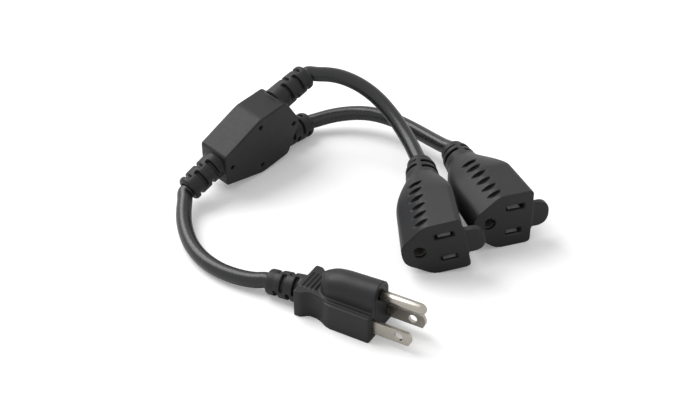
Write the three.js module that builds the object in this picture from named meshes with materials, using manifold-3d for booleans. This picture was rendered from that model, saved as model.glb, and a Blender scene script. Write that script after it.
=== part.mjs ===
// Power cord splitter: a moulded three-pin plug on a short supply cord, a Y junction block, and two
// outlet cords that each end in a moulded three-slot connector.
// Units are millimetres, +Z is up, and the part lies on the plane z = 0.
// Each moulded piece is drawn in a frame of its own: +X points away from its cord, +Z is up.

import * as THREE from 'three';
import { mergeVertices } from 'three/addons/utils/BufferGeometryUtils.js';
import Module from 'manifold-3d';

const wasm = await Module();
wasm.setup();

// Driving dimensions

const clearance = 0.3;
const cordRadius = 3.7;
const cordSides = 12;
const cordSteps = 20;

// How far a cutter runs past the face it opens
const cutPast = 1;

// Insulated conductors inside the moulded pieces
const leadRadius = 1.1;
const leadBundleRadius = 2;
const leadSides = 6;
const leadSteps = 10;
const leadStraight = 3;
const leadBend = 11;
const leadInside = 4;

// Blades and pin of the plug, after the common grounded 15 A pattern
const bladeSpacing = 12.7;
const bladeWidth = 6.35;
const bladeThickness = 1.5;
const bladeLength = 17.6;
const bladeHoleRadius = 1.95;
const bladeHoleFromFace = 11.9;
const bladeTipChamfer = 1.1;
const groundOffset = 11.9;
const groundPinRadius = 2.4;
const groundPinLength = 20.8;
const groundPinTaper = 3;
const tailDepth = 13;
const tailHalfWidth = 1.3;
const tailThickness = 0.8;

// Plug body: a low box with a waist and two wings behind it, and a dome round the ground pin
const plugBoxHeight = 13;
const bladeToSide = 3.95;
const plugHalfWidth = bladeSpacing / 2 + bladeToSide;
const plugBoxLength = 20;
const plugWaistHalfWidth = 7.2;
const plugWaistStart = 25;
const plugWaistEnd = 29.8;
const plugWingStart = 32.6;
const plugLength = 36;
const plugWingHalfWidth = 9.7;
const plugLedgeWidth = 1.2;
const plugLedgeHeight = 0.8;
const plugDomeHalfWidth = 6.8;
const plugDomeHeight = 24;
const plugDomeFall = 1.6;
const plugDomeRearFall = 2.6;
const plugDomeRearStart = 0.55;
const plugDomeLength = 27;
const plugRibCount = 4;
const plugRibStart = 28.4;
const plugRibPitch = 2;
const plugRibHeight = 0.7;
const plugRibHalfWidth = 5;
const plugRibFoot = 0.7;
const plugRibCrest = 0.3;
const plugLeadEntry = 5;
const plugLeadMiddle = 22;
const plugLeadShare = 0.55;
const edgeBevel = 0.8;

// Inner bridge that holds the blades
const bridgeLength = 10;
const bridgeWall = 1.9;
const bridgeBack = 2;

// Junction block
const junctionThickness = 15.9;
const junctionLength = 48;
const junctionEndHalfWidth = 8.5;
const junctionShoulder = 22.7;
const junctionHalfWidth = 16.2;
const junctionCorner = 39.7;
const junctionCornerHalfWidth = 15.8;
const pinHoleRadius = 1;
const pinHoleDepth = 3;
const pinHoleNear = 4;
const pinHoleFar = 44;
const pinHoleMiddle = 22.7;
const pinHoleHalfSpan = 11.5;
const outletBase = 43;
const outletHeight = 12.3;
const outletAngles = { a: 7, b: -11 };
const supplyReliefDroop = 14;

// Splices in the junction
const spliceRadius = 2.9;
const spliceHalfLength = 4;
const spliceCentre = 20;
const spliceSpacing = 7;
const leadLayer = 1.6;

// Connector bodies
const connectorHalfHeight = 13.6;
const connectorSlotSide = 8.5;
const connectorGroundSide = 19.5;
const connectorChamferStart = 8;
const connectorApexHalfHeight = 4.6;
const connectorCornerRadius = 2.4;
const connectorShoulder = 24;
const connectorNeck = 44.5;
const connectorNeckRadius = 7.9;
const connectorShoulderPower = 2;
const connectorShoulderSkew = 0.35;
const connectorAxisOffset = -4.5;
const connectorDraft = 0.05;
const connectorWall = 2.2;
const connectorFaceWall = 1;
const connectorEdgeRadius = 3;
const connectorInnerEdgeRadius = 7;
const tabHalfWidth = 6.2;
const tabLength = 8.2;
const tabThickness = 3;
const tabSetback = 0.4;
const gripCount = 6;
const gripStart = 5.6;
const gripPitch = 5.6;
const gripDepth = 2.3;
const gripWidth = 2.8;
const gripRamp = 2;
const gripDiscRadius = 9;
const gripLean = 58;

// Slots in the connector face
const slotWidth = 2.2;
const slotLengths = { neutral: 8.2, line: 6.7 };
const slotChamfer = 0.7;
const groundHoleRadius = 2.75;
const groundHoleFlat = 1.9;

// Contact carrier and contacts
const carrierLength = 22;
const contactWidth = 5.6;
const contactLength = 17;
const contactStrip = 0.5;
const contactOpening = 3.4;
const contactThroat = 1.1;
const contactThroatDepth = 5;
const contactFold = 1.5;
const groundContactWall = 0.5;
const groundContactFit = 0.15;
const groundContactSlit = 16;
const contactSetback = 1.6;
const crimpLength = 4;

// Strain reliefs, moulded in one with their bodies
const relief = {
  plug: { length: 16.6, root: 3, baseRadius: 6.3, waistRadius: 5.8, collarRadius: 5.6, collarLength: 5 },
  junction: { length: 17.5, root: 4, baseRadius: 6.2, waistRadius: 6, collarRadius: 6, collarLength: 5.5 },
  connector: { length: 14.5, root: 3, baseRadius: 7.9, waistRadius: 6.9, collarRadius: 5.9, collarLength: 4 },
};
const reliefSlotWidth = 1.7;
const reliefPitch = { plug: 5.9, junction: 7.2, connector: 4.1 };
const reliefFirstSlot = { plug: 2.6, junction: 3, connector: 3.6 };
const reliefSlotAngle = { plug: 46, junction: 48, connector: 82 };
const reliefSlotSides = {
  plug: [[135, 0], [-45, 0], [45, 0.5], [-135, 0.5]],
  junction: [[135, 0], [-45, 0], [45, 0.5], [-135, 0.5]],
  connector: [[0, 0], [180, 0.5]],
};
const reliefEndRound = 1.2;
const reliefSides = 20;
const reliefRows = 2;
const plugReliefDroop = 2.6;
const plugReliefSweep = 6;

// How the pieces lie: position of each frame, then yaw, pitch and roll in degrees
const placing = {
  plug: { at: [7.35, -65.59, 0], turn: [-29.5, 0, 0] },
  junction: { at: [-66.65, 30.91, 14.95], turn: [47.4, -6.2, 5.7] },
  connector_a: { at: [35.85, -29.49, 14.56], turn: [-84.95, 3.2, 13.1] },
  connector_b: { at: [66.25, -9.19, 13.75], turn: [-70.1, -1, -1.4] },
};

// Cord routes, in the frame of the whole part
const supplyRoute = [
  [-78.34, 18.83, 8.79], [-79.19, 17.96, 8.34], [-79.05, 13.41, 7.50], [-79.05, 7.61, 6.50],
  [-78.65, 2.11, 5.70], [-77.65, -3.59, 5.10], [-76.15, -8.99, 4.60], [-74.15, -14.39, 4.30],
  [-71.55, -19.39, 4.10], [-68.35, -24.09, 4.00], [-64.55, -28.39, 4.00], [-60.25, -32.09, 4.00],
  [-55.55, -35.19, 4.20], [-50.45, -37.79, 4.50], [-45.15, -39.69, 5.00], [-40.75, -40.57, 5.67],
  [-39.56, -41.09, 5.73],
];
const outletRouteA = [
  [-25.75, 73.26, 35.84], [-24.89, 74.18, 36.13], [-20.35, 74.21, 35.80], [-14.45, 74.31, 35.40],
  [-9.15, 73.61, 34.60], [-3.85, 72.01, 33.20], [0.95, 69.61, 31.60], [5.35, 66.61, 29.70],
  [9.25, 63.01, 27.70], [12.65, 59.01, 25.60], [15.75, 54.61, 23.60], [18.45, 49.91, 21.80],
  [20.85, 45.01, 20.20], [22.95, 40.01, 18.90], [24.75, 34.71, 17.70], [26.14, 30.55, 16.93],
  [26.26, 29.26, 16.86],
];
const outletRouteB = [
  [-25.90, 77.54, 5.95], [-25.04, 78.51, 5.84], [-20.55, 79.81, 6.60], [-14.65, 81.21, 7.60],
  [-8.95, 81.71, 8.50], [-3.05, 81.41, 9.30], [2.65, 80.11, 10.00], [8.15, 78.01, 10.30],
  [13.35, 75.11, 10.40], [18.15, 71.71, 10.40], [22.75, 67.81, 10.30], [26.95, 63.61, 10.40],
  [30.95, 59.21, 10.60], [34.75, 54.61, 11.10], [38.45, 49.91, 11.90], [41.36, 46.35, 12.80],
  [41.80, 45.13, 12.82],
];

// Materials

function material(color, roughness, metalness) {
  return new THREE.MeshStandardMaterial({ color, roughness, metalness });
}
const mouldedBlack = () => material(0x2a2b2e, 0.62, 0);
const cordBlack = () => material(0x222326, 0.45, 0);
const innerGrey = () => material(0x4a4c50, 0.6, 0);
const platedMetal = () => material(0xcfcabf, 0.28, 1);
const contactMetal = () => material(0xc9b98a, 0.32, 1);
const leadColours = { line: 0x1c1c1e, neutral: 0xe6e4dc, ground: 0x2f7d4a };
const conductors = ['line', 'neutral', 'ground'];

// Geometry helpers

// Chamfered edges on a prism whose outline is drawn pulled in by the same amount
const bevelled = { bevelEnabled: true, bevelThickness: edgeBevel, bevelSize: edgeBevel, bevelSegments: 1 };

const axisX = new THREE.Vector3(1, 0, 0);
const axisY = new THREE.Vector3(0, 1, 0);
const axisZ = new THREE.Vector3(0, 0, 1);

// Turns a closed three.js geometry into a solid that can be joined and cut
function toSolid(geometry) {
  const bare = geometry.clone();
  bare.deleteAttribute('normal');
  bare.deleteAttribute('uv');
  const merged = mergeVertices(bare, 1e-4);
  const corners = merged.index.array;
  const kept = [];
  for (let i = 0; i < corners.length; i += 3) {
    const [a, b, c] = [corners[i], corners[i + 1], corners[i + 2]];
    if (a !== b && b !== c && c !== a) kept.push(a, b, c);
  }
  const mesh = new wasm.Mesh({
    numProp: 3,
    vertProperties: new Float32Array(merged.attributes.position.array),
    triVerts: new Uint32Array(kept),
  });
  return new wasm.Manifold(mesh);
}

function toGeometry(solid) {
  const mesh = solid.getMesh();
  const geometry = new THREE.BufferGeometry();
  geometry.setAttribute('position', new THREE.BufferAttribute(new Float32Array(mesh.vertProperties), 3));
  geometry.setIndex(new THREE.BufferAttribute(new Uint32Array(mesh.triVerts), 1));
  return geometry;
}

function joined(solids) {
  return solids.reduce((sum, solid) => sum.add(solid));
}

function cut(solid, tools) {
  return tools.reduce((rest, tool) => rest.subtract(tool), solid);
}

// Closed outline from [x, y, corner radius] rows
function roundedShape(corners) {
  const shape = new THREE.Shape();
  const count = corners.length;
  corners.forEach(([x, y, radius = 0], i) => {
    const here = new THREE.Vector2(x, y);
    const before = new THREE.Vector2(...corners[(i + count - 1) % count].slice(0, 2));
    const after = new THREE.Vector2(...corners[(i + 1) % count].slice(0, 2));
    const start = here.clone().add(before.sub(here).setLength(radius));
    const end = here.clone().add(after.sub(here).setLength(radius));
    if (i === 0) shape.moveTo(start.x, start.y);
    else shape.lineTo(start.x, start.y);
    if (radius > 0) shape.quadraticCurveTo(x, y, end.x, end.y);
  });
  shape.closePath();
  return shape;
}

function rectangle(x0, x1, y0, y1, radius = 0) {
  return roundedShape([[x0, y0, radius], [x1, y0, radius], [x1, y1, radius], [x0, y1, radius]]);
}

// Prism of an outline drawn in (y, z), from x0 to x1
function prismX(shape, x0, x1, options = {}) {
  const geometry = new THREE.ExtrudeGeometry(shape, {
    depth: x1 - x0, steps: 1, curveSegments: 3, bevelEnabled: false, ...options,
  });
  geometry.applyMatrix4(new THREE.Matrix4().makeBasis(axisY, axisZ, axisX));
  return geometry.translate(x0, 0, 0);
}

// Prism of an outline drawn in (x, z), from y0 to y1
function prismY(shape, y0, y1, options = {}) {
  const geometry = new THREE.ExtrudeGeometry(shape, {
    depth: y1 - y0, steps: 1, curveSegments: 3, bevelEnabled: false, ...options,
  });
  geometry.applyMatrix4(new THREE.Matrix4().makeBasis(axisX, axisZ, axisY.clone().negate()));
  return geometry.translate(0, y1, 0);
}

// Prism of an outline drawn in (x, y), from z0 to z1
function prismZ(shape, z0, z1, options = {}) {
  const geometry = new THREE.ExtrudeGeometry(shape, {
    depth: z1 - z0, steps: 1, curveSegments: 3, bevelEnabled: false, ...options,
  });
  return geometry.translate(0, 0, z0);
}

// Round bar along X
function barX(radius, x0, x1, y, z, sides = 20) {
  const geometry = new THREE.CylinderGeometry(radius, radius, x1 - x0, sides);
  geometry.rotateZ(-Math.PI / 2);
  return geometry.translate((x0 + x1) / 2, y, z);
}

// Closed tube that follows a route of [x, y, z] points
function tube(route, radius, sides, steps) {
  const section = new THREE.Shape();
  for (let i = 0; i < sides; i += 1) {
    const turn = (i / sides) * 2 * Math.PI;
    const [x, y] = [radius * Math.cos(turn), radius * Math.sin(turn)];
    if (i === 0) section.moveTo(x, y);
    else section.lineTo(x, y);
  }
  section.closePath();
  const points = route.map((point) => new THREE.Vector3(...point));
  const extrudePath = new THREE.CatmullRomCurve3(points, false, 'centripetal');
  return new THREE.ExtrudeGeometry(section, { steps, curveSegments: 1, bevelEnabled: false, extrudePath });
}

function frameOf({ at, turn }) {
  const group = new THREE.Group();
  const [yaw, pitch, roll] = turn.map(THREE.MathUtils.degToRad);
  group.position.set(...at);
  group.rotation.set(roll, pitch, yaw, 'ZYX');
  return group;
}

function addPiece(group, name, geometryOrSolid, pieceMaterial) {
  const isSolid = typeof geometryOrSolid.getMesh === 'function';
  const mesh = new THREE.Mesh(isSolid ? toGeometry(geometryOrSolid) : geometryOrSolid, pieceMaterial);
  mesh.name = name;
  group.add(mesh);
}

// Strain reliefs

// Turned body of a relief along -X from x = 0, with the root that joins it to its moulding
function reliefBody(size) {
  const waistEnd = size.length - size.collarLength;
  const profile = [
    [0, -size.length],
    [size.collarRadius - reliefEndRound, -size.length],
    [size.collarRadius, -size.length + reliefEndRound],
    [size.collarRadius, -waistEnd],
    [size.waistRadius, -waistEnd],
    [size.baseRadius, 0],
    [size.baseRadius, size.root],
    [0, size.root],
  ];
  const geometry = new THREE.LatheGeometry(profile.map(([r, x]) => new THREE.Vector2(r, x)), reliefSides);
  return toSolid(geometry.rotateZ(-Math.PI / 2));
}

// One slot: part of a ring round the axis, centred on a direction in the (y, z) plane
function reliefSlot(x, direction, halfAngle) {
  const inner = cordRadius + 0.6;
  const outer = 2.5 * cordRadius;
  const shape = new THREE.Shape();
  shape.absarc(0, 0, outer, direction - halfAngle, direction + halfAngle, false);
  shape.absarc(0, 0, inner, direction + halfAngle, direction - halfAngle, true);
  shape.closePath();
  return toSolid(prismX(shape, x - reliefSlotWidth / 2, x + reliefSlotWidth / 2));
}

// Relief with staggered rows of slots; each side is [direction in degrees, share of the pitch]
function slottedRelief(kind) {
  const halfAngle = THREE.MathUtils.degToRad(reliefSlotAngle[kind]);
  const slots = [];
  for (const [direction, stagger] of reliefSlotSides[kind]) {
    for (let row = 0; row < reliefRows; row += 1) {
      const x = -(reliefFirstSlot[kind] + (row + stagger) * reliefPitch[kind]);
      slots.push(reliefSlot(x, THREE.MathUtils.degToRad(direction), halfAngle));
    }
  }
  return cut(reliefBody(relief[kind]), slots);
}

// Moves a solid drawn along X so that its axis leaves a point at a pitch and a yaw, in degrees
function aim(solid, [x, y, z], pitch, yaw = 0) {
  const matrix = new THREE.Matrix4().makeRotationFromEuler(
    new THREE.Euler(0, THREE.MathUtils.degToRad(pitch), THREE.MathUtils.degToRad(yaw), 'ZYX'),
  );
  matrix.setPosition(x, y, z);
  return solid.transform(matrix.elements);
}

// Centres of the three conductors where a relief ends, for a relief aimed from a point
function bundleAt(point, pitch, yaw, distance) {
  const matrix = new THREE.Matrix4().makeRotationFromEuler(
    new THREE.Euler(0, THREE.MathUtils.degToRad(pitch), THREE.MathUtils.degToRad(yaw), 'ZYX'),
  );
  matrix.setPosition(...point);
  return conductors.map((_, i) => {
    const turn = Math.PI / 2 + (i / conductors.length) * 2 * Math.PI;
    const [y, z] = [leadBundleRadius * Math.cos(turn), leadBundleRadius * Math.sin(turn)];
    return new THREE.Vector3(-distance, y, z).applyMatrix4(matrix).toArray();
  });
}

// A lead and the channel that the moulding leaves round it
function lead(route) {
  return tube(route, leadRadius, leadSides, leadSteps);
}

function channel(route) {
  return toSolid(tube(route, leadRadius + clearance, leadSides, leadSteps));
}

// Plug

const plugAxisHeight = plugBoxHeight / 2;
const plugGroundHeight = plugAxisHeight + groundOffset;

// Plan of the plug, pulled in all round by an inset and along the sides of its box by a ledge too
function plugPlan(inset, ledge = 0) {
  const box = plugHalfWidth - inset - ledge;
  const waist = plugWaistHalfWidth - inset;
  const wing = plugWingHalfWidth - inset;
  const half = [
    [-inset, box, 0.8],
    [-plugBoxLength, box, 2.5],
    [-plugWaistStart, waist, 3],
    [-plugWaistEnd - inset, waist, 1.6],
    [-plugWingStart - inset, wing, 0.7],
    [-plugLength + inset, wing, 0.7],
  ];
  const other = half.map(([x, y, radius]) => [x, -y, radius]).reverse();
  return roundedShape([...other, ...half]);
}

function plugDomeOutline() {
  const half = plugDomeHalfWidth;
  const spring = plugDomeHeight - plugDomeHalfWidth;
  const shape = new THREE.Shape();
  shape.moveTo(-half, plugBoxHeight - 3);
  shape.lineTo(half, plugBoxHeight - 3);
  shape.lineTo(half, spring);
  shape.absarc(0, spring, half, 0, Math.PI, false);
  shape.closePath();
  return shape;
}

// Dome: its crown falls towards the rear, and its rear end is rounded in plan
function plugDome() {
  const outline = plugDomeOutline();
  const geometry = prismX(outline, -plugDomeLength, 0, { steps: 6, curveSegments: 8 });
  const point = geometry.attributes.position;
  for (let i = 0; i < point.count; i += 1) {
    const back = -point.getX(i) / plugDomeLength;
    const high = Math.max(0, point.getZ(i) - plugBoxHeight) / (plugDomeHeight - plugBoxHeight);
    const rear = Math.max(0, (back - plugDomeRearStart) / (1 - plugDomeRearStart));
    point.setZ(i, point.getZ(i) - high * (plugDomeFall * back + plugDomeRearFall * rear ** 2));
  }
  const side = plugDomeHalfWidth + 1;
  const plan = roundedShape([
    [1, -side, 0], [1, side, 0],
    [-plugDomeLength, side, plugDomeHalfWidth], [-plugDomeLength, -side, plugDomeHalfWidth],
  ]);
  return toSolid(geometry).intersect(toSolid(prismZ(plan, 0, plugDomeHeight + 1, { curveSegments: 4 })));
}

// Outline of the plug's front, pulled in by a wall, for the bridge and its pocket
function plugBridgeOutline(inset) {
  const half = plugHalfWidth - inset;
  const neck = plugDomeHalfWidth - inset;
  const top = plugBoxHeight - inset;
  const crown = plugDomeHeight - inset;
  return roundedShape([
    [-half, inset, 1], [half, inset, 1], [half, top, 1], [neck, top, 0],
    [neck, crown, neck * 0.8], [-neck, crown, neck * 0.8], [-neck, top, 0], [-half, top, 1],
  ]);
}

// Where the blades and the pin widen from their tails, against the back of the bridge
const bladeShoulder = -(bridgeLength - bridgeBack);

function bladeOutline() {
  const half = bladeWidth / 2;
  const tip = half - 2 * bladeTipChamfer;
  return roundedShape([
    [-tailDepth, -tailHalfWidth], [bladeShoulder, -tailHalfWidth], [bladeShoulder, -half],
    [bladeLength - bladeTipChamfer, -half], [bladeLength, -tip],
    [bladeLength, tip], [bladeLength - bladeTipChamfer, half],
    [bladeShoulder, half], [bladeShoulder, tailHalfWidth], [-tailDepth, tailHalfWidth],
  ]);
}

function blade(y) {
  const outline = bladeOutline();
  const hole = new THREE.Path();
  hole.absarc(bladeHoleFromFace, 0, bladeHoleRadius, 0, 2 * Math.PI, true);
  outline.holes.push(hole);
  const half = bladeThickness / 2;
  const geometry = prismY(outline, y - half, y + half, { curveSegments: 6 });
  return geometry.translate(0, 0, plugAxisHeight);
}

function groundPin() {
  const tip = groundPinLength;
  const profile = [
    [0, -tailDepth], [tailHalfWidth, -tailDepth],
    [tailHalfWidth, bladeShoulder], [groundPinRadius, bladeShoulder],
    [groundPinRadius, tip - groundPinTaper], [groundPinRadius * 0.86, tip - groundPinTaper / 2],
    [groundPinRadius * 0.55, tip - groundPinTaper / 8], [0, tip],
  ];
  const geometry = new THREE.LatheGeometry(profile.map(([r, x]) => new THREE.Vector2(r, x)), 14);
  return geometry.rotateZ(-Math.PI / 2).translate(0, 0, plugGroundHeight);
}

// Where each conductor ends on its blade or pin: [y, z] in the plug's frame
const plugTails = {
  line: [bladeSpacing / 2, plugAxisHeight],
  neutral: [-bladeSpacing / 2, plugAxisHeight],
  ground: [0, plugGroundHeight],
};

function plugLeadRoutes() {
  const base = [-plugLength, 0, plugAxisHeight];
  const start = bundleAt(base, -plugReliefDroop, plugReliefSweep, relief.plug.length);
  const inside = bundleAt(base, 0, 0, 0);
  const places = { ground: 0, neutral: 1, line: 2 };
  const routes = {};
  conductors.forEach((name) => {
    const i = places[name];
    const [y, z] = plugTails[name];
    const midY = inside[i][1] + (y - inside[i][1]) * plugLeadShare;
    const midZ = inside[i][2] + (z - inside[i][2]) * plugLeadShare;
    routes[name] = [
      start[i], inside[i], [-plugLength + plugLeadEntry, inside[i][1], inside[i][2]],
      [-plugLeadMiddle, midY, midZ], [-tailDepth - leadStraight, y, z], [-tailDepth - clearance, y, z],
    ];
  });
  return routes;
}

function buildPlug() {
  const group = frameOf(placing.plug);
  const top = plugBoxHeight - edgeBevel;
  const lower = toSolid(prismZ(plugPlan(edgeBevel), edgeBevel, top - plugLedgeHeight, bevelled));
  const upper = toSolid(prismZ(plugPlan(edgeBevel, plugLedgeWidth), edgeBevel, top, bevelled));
  const ribs = [];
  for (let i = 0; i < plugRibCount; i += 1) {
    const x = -plugRibStart - i * plugRibPitch;
    const crest = plugBoxHeight + plugRibHeight;
    const foot = plugBoxHeight - plugRibHeight;
    const outline = roundedShape([
      [x - plugRibFoot, foot], [x + plugRibFoot, foot], [x + plugRibCrest, crest], [x - plugRibCrest, crest],
    ]);
    ribs.push(toSolid(prismY(outline, -plugRibHalfWidth, plugRibHalfWidth)));
  }
  const reliefBase = [-plugLength, 0, plugAxisHeight];
  const reliefSolid = aim(slottedRelief('plug'), reliefBase, -plugReliefDroop, plugReliefSweep);
  const routes = plugLeadRoutes();
  const pocket = toSolid(prismX(plugBridgeOutline(bridgeWall), -bridgeLength - clearance, cutPast));
  const tails = Object.values(plugTails).map(([y, z]) => toSolid(
    barX(tailHalfWidth + 2 * clearance, -tailDepth - cutPast, -bridgeLength, y, z, 10),
  ));
  const channels = conductors.map((name) => channel(routes[name]));
  const body = cut(joined([lower, upper, plugDome(), reliefSolid, ...ribs]), [pocket, ...tails, ...channels]);
  addPiece(group, 'plug_body', body, mouldedBlack());

  const bridge = toSolid(prismX(plugBridgeOutline(bridgeWall + clearance), -bridgeLength, 0));
  const openings = [];
  for (const side of [-1, 1]) {
    const y = (side * bladeSpacing) / 2;
    const half = bladeThickness / 2 + clearance;
    const tall = bladeWidth / 2 + clearance;
    const slot = rectangle(y - half, y + half, plugAxisHeight - tall, plugAxisHeight + tall);
    openings.push(toSolid(prismX(slot, bladeShoulder - clearance, cutPast)));
    const low = tailHalfWidth + clearance;
    const tail = rectangle(y - half, y + half, plugAxisHeight - low, plugAxisHeight + low);
    openings.push(toSolid(prismX(tail, -bridgeLength - cutPast, 0)));
  }
  const pinRoom = groundPinRadius + clearance;
  const pinTailRoom = tailHalfWidth + clearance;
  openings.push(toSolid(barX(pinRoom, bladeShoulder - clearance, cutPast, 0, plugGroundHeight, 14)));
  openings.push(toSolid(barX(pinTailRoom, -bridgeLength - cutPast, 0, 0, plugGroundHeight, 10)));
  addPiece(group, 'plug_bridge', cut(bridge, openings), innerGrey());

  addPiece(group, 'line_blade', blade(bladeSpacing / 2), platedMetal());
  addPiece(group, 'neutral_blade', blade(-bladeSpacing / 2), platedMetal());
  addPiece(group, 'ground_pin', groundPin(), platedMetal());
  conductors.forEach((name) => {
    addPiece(group, `plug_${name}_lead`, lead(routes[name]), material(leadColours[name], 0.5, 0));
  });
  return group;
}

// Junction

function junctionOutline(inset) {
  const half = [
    [inset, junctionEndHalfWidth - inset, 1],
    [junctionShoulder, junctionHalfWidth - inset, 2],
    [junctionCorner - inset / 2, junctionCornerHalfWidth - inset, 2],
  ];
  const other = half.map(([x, z, radius]) => [x, -z, radius]);
  return roundedShape([...other, [junctionLength - inset, 0, 3], ...half.reverse()]);
}

function outletBasePoint(name) {
  const side = name === 'a' ? 1 : -1;
  return [outletBase, 0, side * outletHeight];
}

// Leads in the junction, each from a cord's end to its splice
function junctionLeadRoutes() {
  const routes = {};
  const supplyTurn = -supplyReliefDroop;
  const supplyStart = bundleAt([0, 0, 0], supplyTurn, 0, relief.junction.length);
  const supplyInner = bundleAt([0, 0, 0], supplyTurn, 0, leadInside);
  conductors.forEach((name, i) => {
    const z = (1 - i) * spliceSpacing;
    const mouth = spliceCentre - spliceHalfLength - clearance;
    routes[`supply_${name}`] = [
      supplyStart[i], supplyInner[i],
      [leadStraight, supplyInner[i][1] * 0.8, supplyInner[i][2] * 0.8 + z * 0.18],
      [mouth - 5, 0, z * 0.85], [mouth - 2, 0, z], [mouth, 0, z],
    ];
  });
  for (const outlet of ['a', 'b']) {
    const base = outletBasePoint(outlet);
    const pitch = 180 - outletAngles[outlet];
    const end = bundleAt(base, pitch, 0, relief.junction.length);
    const inner = bundleAt(base, pitch, 0, leadInside);
    const layer = outlet === 'a' ? leadLayer : -leadLayer;
    conductors.forEach((name, i) => {
      const z = (1 - i) * spliceSpacing;
      const mouth = spliceCentre + spliceHalfLength + clearance;
      const slot = conductors.length - 1 - i;
      const share = outlet === 'a' ? 0.7 - 0.2 * i : 0.3 + 0.2 * i;
      routes[`outlet_${outlet}_${name}`] = [
        [mouth, layer, z], [mouth + leadStraight, layer, z],
        [mouth + leadBend, layer, z + (inner[slot][2] - z) * share], inner[slot], end[slot],
      ];
    });
  }
  return routes;
}

function splice(z) {
  const x0 = spliceCentre - spliceHalfLength;
  const x1 = spliceCentre + spliceHalfLength;
  return toSolid(barX(spliceRadius, x0, x1, 0, z, 12));
}

function buildJunction() {
  const group = frameOf(placing.junction);
  const half = junctionThickness / 2;
  const block = toSolid(prismY(junctionOutline(edgeBevel), -half + edgeBevel, half - edgeBevel, bevelled));
  const straight = slottedRelief('junction');
  const quarterTurned = straight.rotate([90, 0, 0]);
  const reliefs = [
    aim(straight, [0, 0, 0], -supplyReliefDroop),
    ...['a', 'b'].map((name) => aim(quarterTurned, outletBasePoint(name), 180 - outletAngles[name])),
  ];
  const routes = junctionLeadRoutes();
  const channels = Object.values(routes).map(channel);
  const pockets = conductors.map((_, i) => toSolid(barX(
    spliceRadius + clearance, spliceCentre - spliceHalfLength - clearance,
    spliceCentre + spliceHalfLength + clearance, 0, (1 - i) * spliceSpacing, 12,
  )));
  const pinPlaces = [
    [pinHoleNear, 0], [pinHoleFar, 0],
    [pinHoleMiddle, pinHoleHalfSpan], [pinHoleMiddle, -pinHoleHalfSpan],
  ];
  const pinHoles = [];
  for (const [x, z] of pinPlaces) {
    for (const side of [-1, 1]) {
      const hole = new THREE.CylinderGeometry(pinHoleRadius, pinHoleRadius, 2 * pinHoleDepth, 6);
      pinHoles.push(toSolid(hole.translate(x, side * half, z)));
    }
  }
  const body = cut(joined([block, ...reliefs]), [...pockets, ...channels, ...pinHoles]);
  addPiece(group, 'junction_body', body, mouldedBlack());
  conductors.forEach((name, i) => {
    addPiece(group, `${name}_splice`, splice((1 - i) * spliceSpacing), contactMetal());
  });
  for (const [name, route] of Object.entries(routes)) {
    const colour = leadColours[name.split('_').pop()];
    addPiece(group, `junction_${name}_lead`, lead(route), material(colour, 0.5, 0));
  }
  return group;
}

// Connectors

function connectorOutline(inset, edgeRadius) {
  const high = connectorHalfHeight - inset;
  const slotSide = connectorSlotSide - inset;
  const apex = connectorGroundSide - inset;
  const flat = connectorApexHalfHeight - inset * 0.4;
  const corner = Math.max(0.6, connectorCornerRadius - inset);
  return roundedShape([
    [slotSide, -high, corner], [slotSide, high, corner],
    [-connectorChamferStart, high, edgeRadius], [-apex, flat, 3],
    [-apex, -flat, 3], [-connectorChamferStart, -high, edgeRadius],
  ]);
}

// Takes a point of the straight body to the real one: a slight draft, then a shoulder that narrows to
// the round neck of the relief, sooner on the side of the slots
function shouldered([x, y, z]) {
  const middle = (connectorSlotSide - connectorGroundSide) / 2;
  const half = (connectorSlotSide + connectorGroundSide) / 2;
  const back = Math.min(connectorNeck, Math.max(0, -x));
  const scale = 1 - (connectorDraft * back) / connectorShoulder;
  const [bodyY, bodyZ] = [middle + (y - middle) * scale, z * scale];
  const along = Math.max(0, (back - connectorShoulder) / (connectorNeck - connectorShoulder));
  const share = along ** (connectorShoulderPower - connectorShoulderSkew * (1 + (y - middle) / half));
  const turn = Math.atan2(bodyZ, bodyY - middle);
  const neckY = connectorAxisOffset + connectorNeckRadius * Math.cos(turn);
  const neckZ = connectorNeckRadius * Math.sin(turn);
  return [x, bodyY + (neckY - bodyY) * share, bodyZ + (neckZ - bodyZ) * share];
}

function connectorShell() {
  const outline = connectorOutline(edgeBevel, connectorEdgeRadius);
  const geometry = prismX(outline, -connectorNeck, -edgeBevel, { steps: 8, ...bevelled });
  const point = geometry.attributes.position;
  for (let i = 0; i < point.count; i += 1) {
    point.setXYZ(i, ...shouldered([point.getX(i), point.getY(i), point.getZ(i)]));
  }
  return toSolid(geometry);
}

function tab() {
  const reach = connectorSlotSide + tabLength;
  const outline = roundedShape([
    [connectorSlotSide - 2, -tabHalfWidth, 0], [reach, -tabHalfWidth, tabHalfWidth * 0.95],
    [reach, tabHalfWidth, tabHalfWidth * 0.95], [connectorSlotSide - 2, tabHalfWidth, 0],
  ]);
  return toSolid(prismX(outline, -tabSetback - tabThickness, -tabSetback, { curveSegments: 4 }));
}

// Crescent grooves across the two long edges on the ground side, each with a steep wall behind and a
// ramp that rises to the front
function gripGrooves() {
  const lean = THREE.MathUtils.degToRad(gripLean);
  const reach = gripDiscRadius - gripDepth;
  const grooves = [];
  for (let i = 0; i < gripCount; i += 1) {
    const wall = -(gripStart + i * gripPitch);
    for (const side of [-1, 1]) {
      const disc = new THREE.CylinderGeometry(gripDiscRadius - gripRamp, gripDiscRadius, gripWidth, 24);
      disc.rotateZ(-Math.PI / 2);
      const [, edgeY, edgeZ] = shouldered([wall, -connectorChamferStart, side * connectorHalfHeight]);
      const [y, z] = [edgeY - reach * Math.cos(lean), edgeZ + side * reach * Math.sin(lean)];
      grooves.push(toSolid(disc.translate(wall + gripWidth / 2, y, z)));
    }
  }
  return grooves;
}

const slotPlaces = { neutral: bladeSpacing / 2, line: -bladeSpacing / 2 };

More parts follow.
